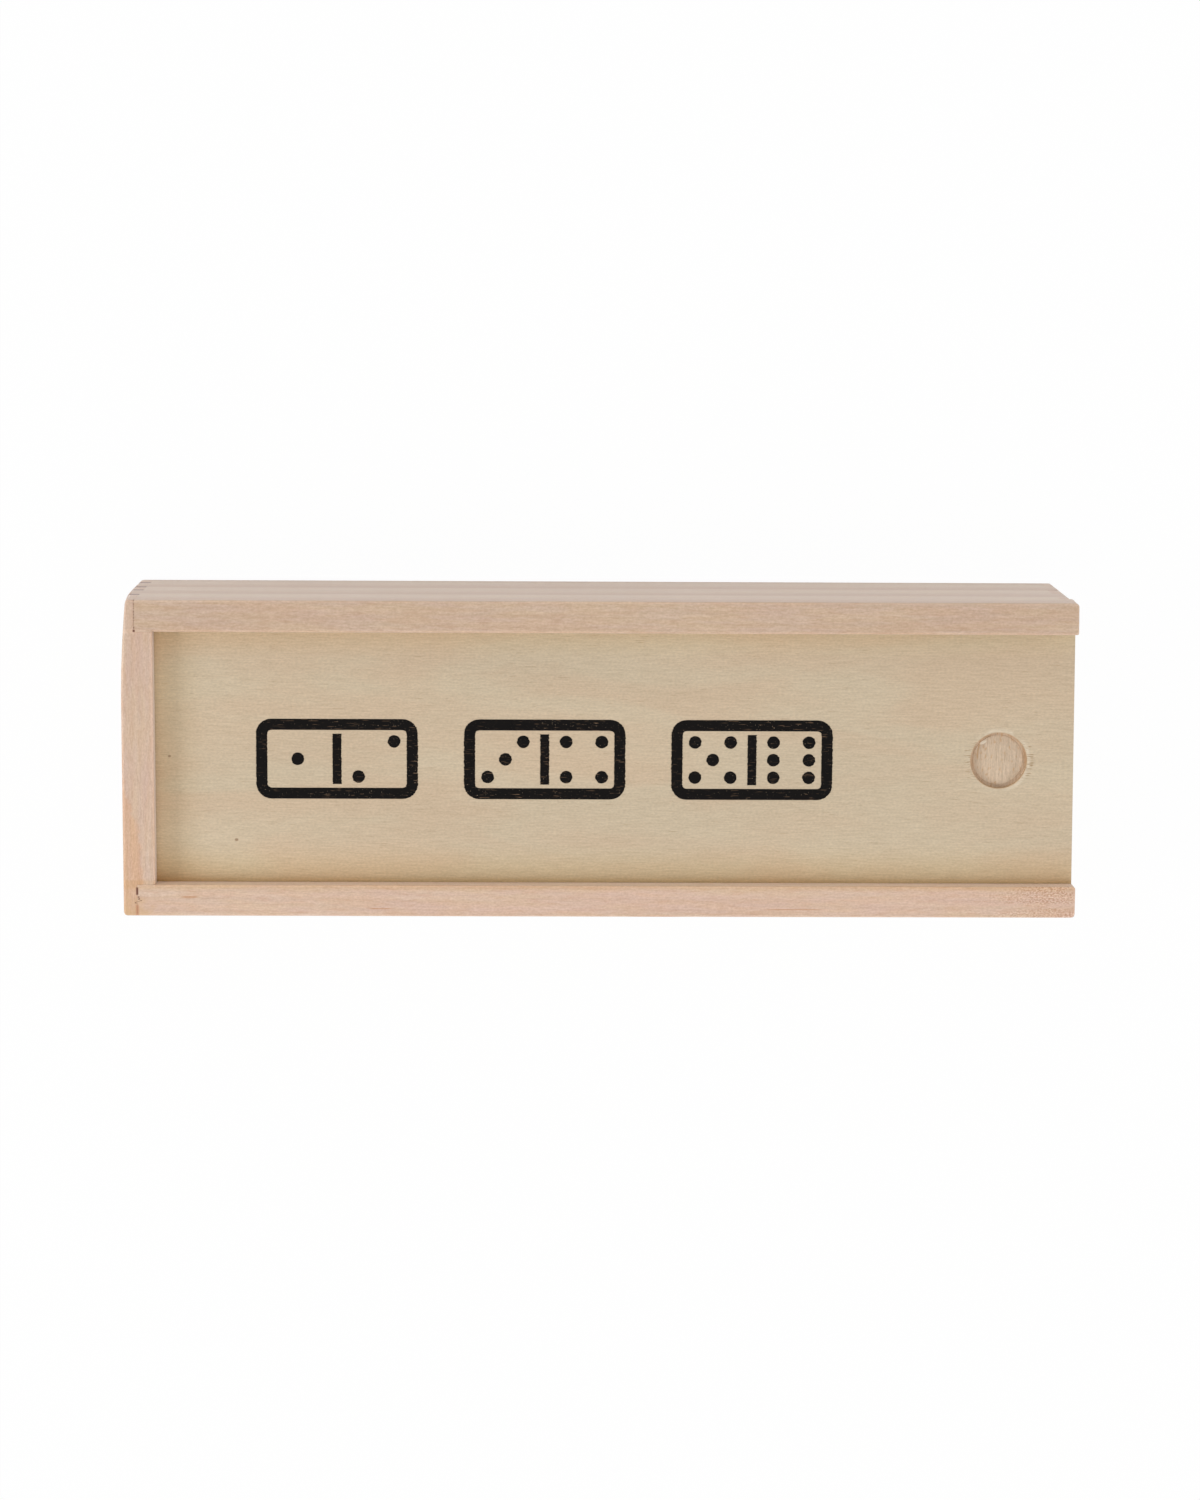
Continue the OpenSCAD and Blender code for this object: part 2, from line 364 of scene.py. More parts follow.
# %% [markdown]
# ## Solid wood: the trunk
#
# The walls are a pale, even-grained softwood, sanded and left bare. A board is a slice of a trunk,
# so its figure is a set of rings round the tree's pith, cut by the board's faces. Painting stripes
# on each face would be quicker, but they wouldn't meet round an edge. Here the pattern is solid:
# Blender's wave texture in its rings mode is the trunk, and the board's faces cut through it.

# %% The trunk that a board was cut from
RING_UNIT = 0.31416  # a ring's width times the Scale of Blender's wave texture
TURN_TO_GRAIN = {"X": 0, "Y": math.radians(-90)}


def trunk_place(finish, grain, pith, lean):
    """Millimetres in the tree's directions: X along the fibres, with the pith as the X axis."""
    turn = (0, 0, TURN_TO_GRAIN[grain] + math.radians(lean))
    return finish.mapped(finish.millimetres(), place=(0, -pith[0], -pith[1]), turn=turn)


def growth_rings(finish, place, ring_mm):
    """0 in the pale early wood, rising to 1 in the darker late wood, once for each year."""
    wave = finish.node("ShaderNodeTexWave", wave_type="RINGS", rings_direction="X", wave_profile="SAW")
    finish.feed(wave.inputs["Vector"], finish.mapped(place, scale=(0.04, 1, 1)))
    wave.inputs["Scale"].default_value = RING_UNIT / ring_mm
    wave.inputs["Distortion"].default_value = 1.0
    wave.inputs["Detail"].default_value = 2.0
    wave.inputs["Detail Scale"].default_value = 1.5
    rise = finish.spread(wave.outputs["Fac"], 0.25, 0.85)
    fall = finish.spread(wave.outputs["Fac"], 0.88, 1.0, 1.0, 0.0)
    return finish.all_of(rise, fall)


print("ring unit:", RING_UNIT)

# %% [markdown]
# ## Solid wood: fibres and end grain
#
# On top of the rings come wood cells: long fibres, a finer grit where sandpaper cut across them,
# short dark dashes, and slow changes between pinker and yellower wood. Each is a noise stretched
# along the fibres. Its scale along them is small, which makes it long, and the one across is large.
#
# Where a face looks along the fibres it shows end grain, which soaks up light and is darker. The
# surface's own direction, its normal, tells where that is, and it finds the rounded edges too,
# which are painted a little paler: a painted highlight where they catch the light.

# %% Bare sanded softwood
STREAK_TINTS = (1.035, 1.04, 1.05), (0.965, 0.96, 0.95)  # palest and darkest
FIBRE_TINTS = (1.08, 1.10, 1.13), (0.92, 0.90, 0.87)
GRIT_TINTS = (1.065, 1.08, 1.10), (0.935, 0.92, 0.90)
WARMTH_TINTS = (0.995, 1.006, 1.03), (1.005, 0.998, 0.955)  # coolest and warmest
BLUSH_SHARE = 0.28
DASH_SHARE = 0.35
END_GRAIN_SHARE = 0.55
EDGE_HIGHLIGHT = 1.14


def end_grain(finish, grain):
    """1 where the surface looks along the fibres, 0 on the board's sides."""
    x, y, z = finish.apart(finish.coordinates.outputs["Normal"])
    along = finish.math("ABSOLUTE", {"X": x, "Y": y}[grain])
    return finish.spread(along, 0.55, 0.95)


def rounded_edges(finish):
    """1 on rounded edges, 0 on flat faces: a flat face's normal points along X, Y or Z."""
    normal = finish.apart(finish.coordinates.outputs["Normal"])
    largest = finish.any_of(*[finish.math("ABSOLUTE", part) for part in normal])
    return finish.spread(largest, 0.80, 0.97, 1.0, 0.0)


def sanded_height(finish, fibres, dashes, grit):
    """What sandpaper leaves to feel: raised fibres, sunk dashes and fine scratches."""
    height = finish.math("ADD", fibres, finish.all_of(dashes, -0.8))
    return finish.math("ADD", height, finish.all_of(grit, 0.6))


def solid_wood(name, grain, pith, tones, ring_mm=6.0, ring_share=0.3, marks=()):
    """A board's finish. tones are its pale wood, its pinker wood and its late wood."""
    pale, pink, late = tones
    finish = Finish(name)
    place = trunk_place(finish, grain, pith, lean=0.6)
    mottle = finish.noise(place, stretch=(0.05, 0.35, 0.35), detail=5.0, roughness=0.65)
    colour = finish.mix(finish.spread(mottle, 0.35, 0.65), pale, pink)
    colour = finish.mix(finish.all_of(growth_rings(finish, place, ring_mm), ring_share), colour, late)

    streaks = finish.noise(place, stretch=(0.03, 1.6, 1.6), detail=3.0)
    colour = finish.tint(colour, finish.spread(streaks, 0.3, 0.7), *STREAK_TINTS)
    fibres = finish.noise(place, stretch=(0.8, 4.2, 4.2), detail=3.0, roughness=0.6)
    colour = finish.tint(colour, finish.spread(fibres, 0.25, 0.75), *FIBRE_TINTS)
    grit = finish.noise(place, stretch=(2.6, 3.8, 3.8))
    colour = finish.tint(colour, finish.spread(grit, 0.25, 0.75), *GRIT_TINTS)
    warmth = finish.noise(place, stretch=(0.12, 0.9, 0.9))
    colour = finish.tint(colour, finish.spread(warmth, 0.35, 0.65), *WARMTH_TINTS)
    blush = finish.noise(place, stretch=(0.35, 2.0, 2.0), detail=3.0)
    colour = finish.mix(finish.spread(blush, 0.50, 0.70, 0.0, BLUSH_SHARE), colour, late)
    dashes = finish.spread(finish.noise(place, stretch=(0.35, 7.0, 7.0), detail=1.0), 0.68, 0.78)
    colour = finish.mix(finish.all_of(dashes, DASH_SHARE), colour, late)

    pores = finish.noise(place, stretch=(0.3, 6.0, 6.0))
    end_tone = finish.tone(late, finish.spread(pores, 0.35, 0.6, 0.82, 1.08))
    colour = finish.mix(finish.all_of(end_grain(finish, grain), END_GRAIN_SHARE), colour, end_tone)
    for mark in marks:
        colour = mark(finish, colour)
    # Painted highlight: rounded edges are painted paler, as where they catch the light.
    colour = finish.tone(colour, finish.spread(rounded_edges(finish), 0.0, 1.0, 1.0, EDGE_HIGHLIGHT))
    roughness = finish.spread(fibres, 0.2, 0.8, 0.50, 0.64)
    height = sanded_height(finish, fibres, dashes, grit)
    return finish.surface(colour, roughness, height, bump_mm=0.03, sheen=0.6)


print("softwood's share of late wood in its dashes:", DASH_SHARE)

# %% [markdown]
# ## Marks that the making left
#
# Machine-cut corner joints are never quite clean. The cutter's shoulder burnt a thin line over and
# under each finger, and where the tongue meets the long walls' tops the joint shows as a fine brown
# line. On the front corner it has opened into a small crack, with torn fibres beside it, and it ends
# in an orange blur. Glue has stained the wood yellow round it.
#
# Each mark is a function that takes the colour so far and returns it with the mark painted over. A
# picture painted by hand would need a seam where two boards meet. These marks depend on place
# alone, so the boards that share a joint show one mark, not two halves. The fingers' edges are
# found in the frame's own corners.

# %% Joint marks
TOP = TOP_Z / MM
LIP_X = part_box("end_wall")[1].x / MM  # the closed end's inner edge
LIP_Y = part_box("side_wall_back")[0].y / MM  # the back wall's, and with a minus the front wall's
END_TONGUE = 2.2  # thickness of the end wall's tongue, which laps the long walls' ends
SEAM_X = CLOSED_X / MM + END_TONGUE
FINGER_EDGES = sorted({
    round(v.co.z / MM, 2)
    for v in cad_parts["side_wall_back"].data.vertices
    if v.co.x < CLOSED_X + 0.3 * MM and v.co.z < TOP_Z - 3 * MM
})
BURN_REACH = 0.6
BURN = paint_tone(112, 46, 32)
CRACK_Y = -21.6, -20.4
TEAR_Y = -23.0, -21.8
BLUR_Y = -23.4, -23.0
SEAM_BROWN = paint_tone(112, 66, 46)
SEAM_ORANGE = paint_tone(190, 128, 92)
GLUE_Y = -24.3
GLUE_STAIN = paint_tone(214, 176, 130)


def on_top(finish, z):
    """1 on the box's top face, 0 on all that is lower."""
    return finish.spread(z, TOP - 1.2, TOP - 0.9)


def finger_burns(finish, colour):
    """Dark lines over and under each finger, on the outsides of the closed end."""
    x, y, z = finish.axes()
    lines = [finish.between(z, edge - BURN_REACH, edge + BURN_REACH, 0.35) for edge in FINGER_EDGES]
    tongue = finish.spread(x, SEAM_X - 0.1, SEAM_X + 0.3, 1.0, 0.0)
    outside = finish.spread(finish.math("ABSOLUTE", y), BACK_Y / MM - 0.9, BACK_Y / MM - 0.3)
    return finish.mix(finish.all_of(finish.any_of(*lines), tongue, outside), colour, BURN)


def top_seams(finish, colour):
    """The joint's line across the lips' tops, with a crack and torn fibres at the front."""
    place = finish.millimetres()
    x, y, z = finish.apart(place)
    tear = finish.between(y, *TEAR_Y, 0.1)
    waver = finish.noise(place, stretch=(0.0, 1.9, 0.0), detail=1.0)
    shift = finish.all_of(finish.spread(waver, 0.2, 0.8, -1.1, 0.5), tear)
    distance = finish.math("ABSOLUTE", finish.math("ADD", finish.math("SUBTRACT", x, SEAM_X), shift))
    fine = finish.spread(distance, 0.06, 0.16, 1.0, 0.0)
    wide = finish.spread(distance, 0.10, 0.24, 1.0, 0.0)

    gaps = finish.noise(place, stretch=(0.0, 2.4, 0.0), detail=1.0)
    dotted = finish.all_of(fine, finish.spread(gaps, 0.42, 0.64, 0.06, 0.6))
    back = finish.all_of(dotted, finish.spread(y, LIP_Y - 0.1, LIP_Y + 0.1))
    back_end = finish.all_of(wide, finish.between(y, LIP_Y, LIP_Y + 0.35, 0.1))
    crack = finish.all_of(wide, finish.between(y, *CRACK_Y, 0.12))
    seam = finish.any_of(back, back_end, crack, finish.all_of(fine, tear, 0.8))
    blurred = finish.spread(distance, 0.05, 0.40, 0.7, 0.0)
    blur = finish.all_of(blurred, finish.spread(y, *BLUR_Y, 1.0, 0.0))

    colour = finish.mix(finish.all_of(blur, on_top(finish, z)), colour, SEAM_ORANGE)
    return finish.mix(finish.all_of(seam, on_top(finish, z)), colour, SEAM_BROWN)


def glue_stain(finish, colour):
    """Yellowed wood round the front corner's crack."""
    reach = finish.length(finish.mapped(finish.millimetres(), place=(-SEAM_X, -GLUE_Y, -TOP)))
    cloud = finish.noise(finish.millimetres(), scale=0.5)
    distance = finish.math("ADD", reach, finish.spread(cloud, 0.3, 0.7, -1.0, 1.0))
    return finish.mix(finish.spread(distance, 0.8, 3.2, 0.5, 0.0), colour, GLUE_STAIN)


print("finger edges, mm:", FINGER_EDGES, "seam at X", SEAM_X)

# %% [markdown]
# ## Heartwood, and painted light on the rims
#
# The closed end's board has orange heartwood along its outer side. In the tree the border between
# pale and orange wood follows the rings, so on the board it runs slantwise and wavers. A straight
# mask would look like paint.
#
# The inner rims round the lid get painted light: the back one and the closed end's are painted
# paler as a highlight, and the front one's inner face is painted browner as shade, down to the lid.

# %% Heartwood and worn rims
HEARTWOOD_TINT = 1.02, 0.91, 0.80
HEARTWOOD_Y = -17.0, 1.0  # across the box, from its full width to none
HEARTWOOD_W = 3.0
HEARTWOOD_SLANT = 0.10  # how much of its width is lost for each millimetre down
RIM_HIGHLIGHT_TINT = 1.09, 1.08, 1.08
FRONT_RIM_SHADE_TINT = 0.97, 0.93, 0.82
LIP_H = 3.0  # of the lips over the lid's groove


def heartwood(finish, colour):
    x, y, z = finish.axes()
    outer_x = CLOSED_X / MM
    border = finish.spread(y, *HEARTWOOD_Y, outer_x + HEARTWOOD_W, outer_x - 0.2)
    waver = finish.noise(finish.millimetres(), stretch=(0.3, 0.3, 0.5), detail=3.0)
    wavering = finish.math("ADD", x, finish.spread(waver, 0.2, 0.8, -0.6, 0.6))
    beyond = finish.math("SUBTRACT", wavering, border)
    depth = finish.math("SUBTRACT", TOP, z)
    beyond = finish.math("MULTIPLY_ADD", depth, HEARTWOOD_SLANT, beyond)
    return finish.tint(colour, finish.spread(beyond, -0.3, 0.4, 1.0, 0.0), HEARTWOOD_TINT)


def lit_and_shaded_rims(finish, colour):
    """The inner rims round the lid: a painted highlight at the back and the end, painted shade in front."""
    x, y, z = finish.axes()
    beside_lid = finish.spread(finish.math("ABSOLUTE", y), LIP_Y - 0.1, LIP_Y + 0.3, 1.0, 0.0)
    end = finish.all_of(finish.between(x, LIP_X - 0.45, LIP_X + 0.2, 0.08), beside_lid)
    back = finish.between(y, LIP_Y - 0.2, LIP_Y + 0.45, 0.08)
    # Painted highlight: the back rim and the closed end's rim are painted paler.
    lit_rims = finish.all_of(finish.any_of(back, end), on_top(finish, z))
    colour = finish.tint(colour, lit_rims, RIM_HIGHLIGHT_TINT)
    # Painted shade: the front rim's inner face is painted browner, down to the lid.
    shaded_front_face = finish.all_of(
        finish.spread(y, -LIP_Y - 1.1, -LIP_Y - 0.2),
        finish.spread(y, -LIP_Y + 0.5, -LIP_Y + 1.0, 1.0, 0.0),
        finish.spread(z, TOP - LIP_H - 0.3, TOP - LIP_H),
    )
    return finish.tint(colour, shaded_front_face, FRONT_RIM_SHADE_TINT)


print("heartwood's width at the front, mm:", HEARTWOOD_W)

# %% [markdown]
# ## Marks of the front board
#
# The front board has two marks of its own. Thin orange streaks on its top are resin that the saw
# laid open. Near its open end the grain rises to the surface, so the upper part of the wood there
# is coarse and speckled. Both fade out by height, because a mask that only knew X and Y would run
# down the board's outside as a band.

# %% Resin and coarse grain
RESIN = paint_tone(190, 132, 92)
RESIN_STREAKS = [  # middle along the board, across it, half length, half thickness, in millimetres
    (-64.6, -21.9, 1.6, 0.16),
    (-34.6, -23.7, 2.4, 0.09),
    (8.7, -24.9, 5.4, 0.12),
    (30.6, -23.7, 6.0, 0.08),
]
COARSE_X = 54.0, 72.0  # along the board, from none to full
COARSE_DOWN = 7.0  # from the top edge down the board's face
COARSE_TINTS = (1.12, 1.17, 1.19), (0.82, 0.68, 0.60)


def resin_streaks(finish, colour):
    x, y, z = finish.axes()
    streaks = []
    for along, across, half, thick in RESIN_STREAKS:
        fade = finish.spread(finish.away(x, along), half * 0.4, half, 1.0, 0.0)
        line = finish.spread(finish.away(y, across), thick * 0.5, thick * 1.6, 1.0, 0.0)
        streaks.append(finish.all_of(fade, line))
    top = finish.spread(z, TOP - 0.8, TOP - 0.3, 0.0, 0.6)
    return finish.mix(finish.all_of(finish.any_of(*streaks), top), colour, RESIN)


def coarse_patch(finish, colour):
    """Short, strong speckles where the fibres come up to the surface."""
    place = finish.millimetres()
    x, y, z = finish.apart(place)
    patch = finish.noise(place, stretch=(0.12, 0.5, 0.5))
    here = finish.all_of(
        finish.spread(x, *COARSE_X),
        finish.spread(patch, 0.35, 0.55),
        finish.spread(z, TOP - COARSE_DOWN, TOP - 1.0),
    )
    speckle = finish.noise(place, stretch=(3.0, 4.6, 4.6), detail=1.0)
    return finish.mix(here, colour, finish.tint(colour, finish.spread(speckle, 0.36, 0.64), *COARSE_TINTS))


print("resin streaks:", len(RESIN_STREAKS))

# %% [markdown]
# ## The four walls' wood
#
# The two long walls were cut from different planks: the front one is pinker and a little lighter.
# Both were cut with the growth rings lying flat, so their outsides show the rings as long bands and
# their tops show almost none. The end walls' fibres run across the box, because an end wall's fibres
# always run along its own length. Each board gets its own pith, so no two show the same figure.

# %% Wall finishes
FRONT_TONES = paint_tone(218, 189, 165), paint_tone(216, 183, 162), paint_tone(204, 158, 126)
BACK_TONES = paint_tone(205, 178, 153), paint_tone(202, 172, 149), paint_tone(186, 147, 118)
END_TONES = paint_tone(214, 187, 164), paint_tone(212, 181, 161), paint_tone(196, 156, 126)

JOINT_MARKS = (lit_and_shaded_rims, glue_stain, finger_burns, top_seams)
FRONT_MARKS = (coarse_patch, resin_streaks) + JOINT_MARKS
END_MARKS = (heartwood,) + JOINT_MARKS
FRONT_WOOD = solid_wood("front_wood", "X", (-30, -140), FRONT_TONES, marks=FRONT_MARKS)
BACK_WOOD = solid_wood("back_wood", "X", (34, -123), BACK_TONES, 9.0, 0.8, marks=JOINT_MARKS)
CLOSED_END_WOOD = solid_wood("closed_end_wood", "Y", (48, -90), END_TONES, marks=END_MARKS)
LOW_END_WOOD = solid_wood("low_end_wood", "Y", (-110, -85), END_TONES)
print("wall finishes:", [m.name for m in (FRONT_WOOD, BACK_WOOD, CLOSED_END_WOOD, LOW_END_WOOD)])

# %% [markdown]
# ## From a frame node to a piece
#
# The frame's meshes are right in shape, but they are loose triangles with knife-sharp edges. Real
# boards have their edges broken by sandpaper, and it is these tiny rounds that catch the light and
# make a joint show as a fine line. So each piece is a copy of its node: doubles merged, flat areas
# joined into single faces, and every sharp edge bevelled by about a tenth of a millimetre. The
# Weighted Normal modifier keeps the flat faces flat in the shading.
#
# A Bevel modifier on the node itself would be less code, but it would bevel the triangles' seams
# as well, since the node's corners aren't joined.

# %% Helpers that copy, soften and finish a piece
FLAT = math.radians(0.5)
SHARP = math.radians(28)
TOUCHING = 0.001 * MM


def joined_copy(node):
    """A bmesh of a frame node with its triangles joined into whole faces."""
    piece = bmesh.new()
    piece.from_mesh(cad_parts[node].data)
    bmesh.ops.remove_doubles(piece, verts=piece.verts, dist=TOUCHING)
    bmesh.ops.dissolve_limit(
        piece, angle_limit=FLAT, use_dissolve_boundaries=False, verts=piece.verts, edges=piece.edges
    )
    for face in piece.faces:
        face.material_index = 0
    return piece


def soften(piece, width):
    """Breaks every sharp edge, as fine sandpaper does."""
    sharp = [e for e in piece.edges if e.is_manifold and e.calc_face_angle() > SHARP]
    bmesh.ops.bevel(
        piece, geom=sharp, offset=width, offset_type="OFFSET", affect="EDGES",
        segments=2, profile=0.5, material=-1, clamp_overlap=True,
    )
    return len(sharp)


def piece_object(mesh, name, materials, body, nodes=()):
    """Makes the bmesh an object that rides on a body and stands for the frame's nodes."""
    data = bpy.data.meshes.new(name)
    mesh.to_mesh(data)
    mesh.free()
    for material in materials:
        data.materials.append(material)
    data.shade_smooth()
    data.set_sharp_from_angle(angle=SHARP)
    piece = bpy.data.objects.new(name, data)
    bpy.context.scene.collection.objects.link(piece)
    weighted = piece.modifiers.new("flat_faces_stay_flat", "WEIGHTED_NORMAL")
    weighted.keep_sharp = True
    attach(piece, body)
    if nodes:
        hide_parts(*nodes)
    return piece


print("an edge counts as sharp from", round(math.degrees(SHARP)), "degrees")

# %% [markdown]
# ## Hand sanding
#
# The box got its last sanding by hand, with the joints already glued. The closed end lost more wood
# at its upper back corner, and the open end isn't quite square: it falls short towards the back. A
# long flat face has no points in its middle that could move, so the boards are first cut into short
# slices by planes, and then each point is moved. The amount depends only on the place, so boards
# that meet stay flush. Sculpting each board by itself wouldn't keep them so.

# %% Slices and hand sanding
SANDED_DEPTH = 2.1 * MM
CORNER_FROM_Y = 8.0 * MM
CORNER_FROM_Z = 13.0 * MM
CORNER_LOSS = 0.9 * MM
SKEW_FROM_Y = -12.0 * MM
SKEW_LOSS = 0.013  # for each unit across the box
SKEW_FROM_Z = 22.0 * MM
SKEW_FULL_Z = 25.0 * MM


def smooth_step(low, high, value):
    share = min(max((value - low) / (high - low), 0.0), 1.0)
    return share * share * (3 - 2 * share)


def slice_across(piece, axis, low, high, count):
    """Cuts the piece by evenly spaced planes across an axis, so that its long faces can bend."""
    normal = Vector((0, 0, 0))
    normal[axis] = 1
    for step in range(count):
        cut = normal * (low + (high - low) * (step + 0.5) / count)
        geometry = piece.verts[:] + piece.edges[:] + piece.faces[:]
        bmesh.ops.bisect_plane(piece, geom=geometry, plane_co=cut, plane_no=normal, dist=TOUCHING)


def corner_sanding(place):
    """How far the closed end's upper back corner was sanded in, at a point of the surface."""
    across = max(place.y - CORNER_FROM_Y, 0.0) / (BACK_Y - CORNER_FROM_Y)
    up = max(place.z - CORNER_FROM_Z, 0.0) / (TOP_Z - CORNER_FROM_Z)
    near_end = min(max((CLOSED_X + SANDED_DEPTH - place.x) / SANDED_DEPTH, 0.0), 1.0)
    return CORNER_LOSS * across ** 2 * up ** 2 * near_end


def skew_sanding(place):
    """How far the open end falls short of square."""
    near_end = min(max((place.x - OPEN_X + SANDED_DEPTH) / SANDED_DEPTH, 0.0), 1.0)
    return SKEW_LOSS * max(place.y - SKEW_FROM_Y, 0.0) * near_end


def sand(piece):
    for vert in piece.verts:
        lips = smooth_step(SKEW_FROM_Z, SKEW_FULL_Z, vert.co.z)
        vert.co.x += corner_sanding(vert.co) - skew_sanding(vert.co) * lips


print("most wood taken off by hand, mm:", CORNER_LOSS / MM)

# %% [markdown]
# ## Walls
#
# Four boards make the box: two long ones, a full-height closed end, and a low end that the lid
# slides out over. They differ only in their node, their wood and the axis they run along, so one
# function makes them all from a table.

# %% Walls
WALL_EDGE = 0.09 * MM
WALLS = [  # name, node, wood, axis along the board
    ("front_board", "side_wall_front", FRONT_WOOD, 0),
    ("back_board", "side_wall_back", BACK_WOOD, 0),
    ("closed_end_board", "end_wall", CLOSED_END_WOOD, 1),
    ("low_end_board", "low_end_wall", LOW_END_WOOD, 1),
]
SLICES_ALONG = 12
SLICES_UP = 6


def wall(name, node, material, along):
    low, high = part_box(node)
    board = joined_copy(node)
    edges = soften(board, WALL_EDGE)
    slice_across(board, along, low[along], high[along], SLICES_ALONG)
    slice_across(board, 2, low.z, high.z, SLICES_UP)
    sand(board)
    print(name, "edges softened:", edges, "faces:", len(board.faces))
    piece_object(board, name, [material], "box", [node])


for row in WALLS:
    wall(*row)

# %% [markdown]
# ## Plywood
#
# The lid and the bottom are plywood: a thin yellowish face veneer, a core whose fibres run the
# other way, and a back veneer. Veneer is peeled from a turning log like paper from a roll, so it
# shows no regular rings but wide, cloudy figure, with fine fibres along the sheet. The finish is
# the same recipe as solid wood's with those changes.

# %% Veneer
FACE_TONES = paint_tone(206, 188, 160), paint_tone(206, 183, 154), paint_tone(176, 148, 108)
FIBRE_CONTRAST = 0.08
CHANNEL_CONTRAST = 0.9, 1.0, 1.2  # dark fibres are yellower, so red changes least and blue most
VENEER_DASH_SHARE = 0.4
VENEER_END_SHARE = 0.6


def veneer(name, grain, tones, contrast=FIBRE_CONTRAST):
    """Rotary-cut veneer. tones are its pale wood, its warmer wood and its dark fibres."""
    pale, warm, dark = tones
    finish = Finish(name)
    place = trunk_place(finish, grain, (0, 0), lean=0.8)
    clouds = finish.noise(place, stretch=(0.03, 0.12, 0.5), detail=4.0, distortion=0.6)
    colour = finish.mix(finish.spread(clouds, 0.35, 0.65), pale, warm)
    shade = finish.noise(place, stretch=(0.02, 0.06, 0.5))
    colour = finish.tone(colour, finish.spread(shade, 0.3, 0.7, 0.975, 1.025))
    fibres = finish.noise(place, stretch=(0.35, 4.2, 4.2), detail=3.0, roughness=0.65)
    high = [1 + contrast * share for share in CHANNEL_CONTRAST]
    low = [1 - contrast * share for share in CHANNEL_CONTRAST]
    colour = finish.tint(colour, finish.spread(fibres, 0.25, 0.75), high, low)
    grit = finish.noise(place, stretch=(2.2, 3.8, 3.8))
    colour = finish.tone(colour, finish.spread(grit, 0.25, 0.75, 0.93, 1.07))
    dashes = finish.spread(finish.noise(place, stretch=(0.4, 7.0, 7.0), detail=1.0), 0.68, 0.78)
    colour = finish.mix(finish.all_of(dashes, VENEER_DASH_SHARE), colour, dark)
    colour = finish.mix(finish.all_of(end_grain(finish, grain), VENEER_END_SHARE), colour, dark)
    roughness = finish.spread(fibres, 0.2, 0.8, 0.54, 0.66)
    return finish, colour, sanded_height(finish, fibres, dashes, grit), roughness


def plain_veneer(name, grain, tones):
    finish, colour, height, roughness = veneer(name, grain, tones)
    return finish.surface(colour, roughness, height, bump_mm=0.025)


PANEL_VENEER = plain_veneer("panel_veneer", "X", FACE_TONES)
print("panel finish:", PANEL_VENEER.name)

# %% [markdown]
# ## The thumb recess
#
# The recess was bored with a flat-bottomed bit whose rim runs ahead of its cutters. The rim cut a
# fine groove round the floor and ran hot there, so the groove is scorched brown, in places more, in
# places less. The hole is just deep enough to bare the core, whose fibres run across the lid.
#
# The scorch is a matter of place: it depends on the distance from the hole's axis, with noise to
# make it uneven. Both veneers share the helper, since the bit went through one into the other. The
# axis and the radius come from the hole's own corners in the frame.

# %% Distance from the recess's axis
lid_corners = [v.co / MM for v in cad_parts["lid_face_ply"].data.vertices]
recess_rim = [corner for corner in lid_corners if abs(corner.x) < OPEN_X / MM - 5]
RECESS_X = (min(p.x for p in recess_rim) + max(p.x for p in recess_rim)) / 2
RECESS_Y = (min(p.y for p in recess_rim) + max(p.y for p in recess_rim)) / 2
RECESS_R = (max(p.x for p in recess_rim) - min(p.x for p in recess_rim)) / 2
RIM_GROOVE = 0.42  # width of the groove that the bit's rim cut, in millimetres
SCORCH = paint_tone(194, 152, 107)


def from_axis(finish, shift_x=0.0, shift_y=0.0):
    """Distance in millimetres from the recess's axis, or from a point beside it."""
    centred = finish.mapped(finish.millimetres(), place=(-RECESS_X - shift_x, -RECESS_Y - shift_y, 0))
    return finish.length(finish.mapped(centred, scale=(1, 1, 0)))


print("recess centre, mm:", round(RECESS_X, 2), round(RECESS_Y, 2), "radius", round(RECESS_R, 2))

# %% [markdown]
# ## Face veneer
#
# The veneer is painted browner and darker next to the lips, most in the closed end's front corner:
# painted shade where the lips shade the lid. Two pin knots show as tiny dark points. Round the
# recess's mouth the bit lifted the fibres, which leaves a paler halo on one side, and tore some out. A
# bit tears wood only where its edge lifts the fibres' ends, so the tears lie to the left and right of
# the hole and not above or below.

# %% Face veneer's marks
FRONT_SHADE_TINT = 1.0, 0.94, 0.80
BACK_SHADE_TINT = 1.0, 0.98, 0.90
END_SHADE_TINT = 1.0, 0.955, 0.85
CORNER_SHADE_TINT = 0.90, 0.84, 0.78
PIN_KNOTS = [(-67.8, 0.0, 0.18), (-57.4, -13.3, 0.22)]  # place and radius, in millimetres
KNOT_BROWN = paint_tone(140, 108, 78)
HALO_SLANT = 0.6
PALE_FIBRE = paint_tone(224, 208, 184)
TORN = paint_tone(164, 134, 98)
TORN_SHARE = 0.85


def painted_lip_shade(finish, colour):
    # Painted shade: the lid is tinted browner next to each lip, and darker in the closed end's front
    # corner.
    x, y, z = finish.axes()
    corner = finish.mapped(finish.millimetres(), place=(-LIP_X, LIP_Y, 0))
    from_corner = finish.length(finish.mapped(corner, scale=(0.5, 1.0, 0)))
    colour = finish.tint(colour, finish.spread(y, -LIP_Y, -LIP_Y + 7, 1.0, 0.0), FRONT_SHADE_TINT)
    colour = finish.tint(colour, finish.spread(y, -LIP_Y, -LIP_Y + 1, 1.0, 0.0), FRONT_SHADE_TINT)
    colour = finish.tint(colour, finish.spread(y, LIP_Y - 5, LIP_Y), BACK_SHADE_TINT)
    colour = finish.tint(colour, finish.spread(x, LIP_X, LIP_X + 9, 1.0, 0.0), END_SHADE_TINT)
    return finish.tint(colour, finish.spread(from_corner, 0.0, 8.0, 1.0, 0.0), CORNER_SHADE_TINT)


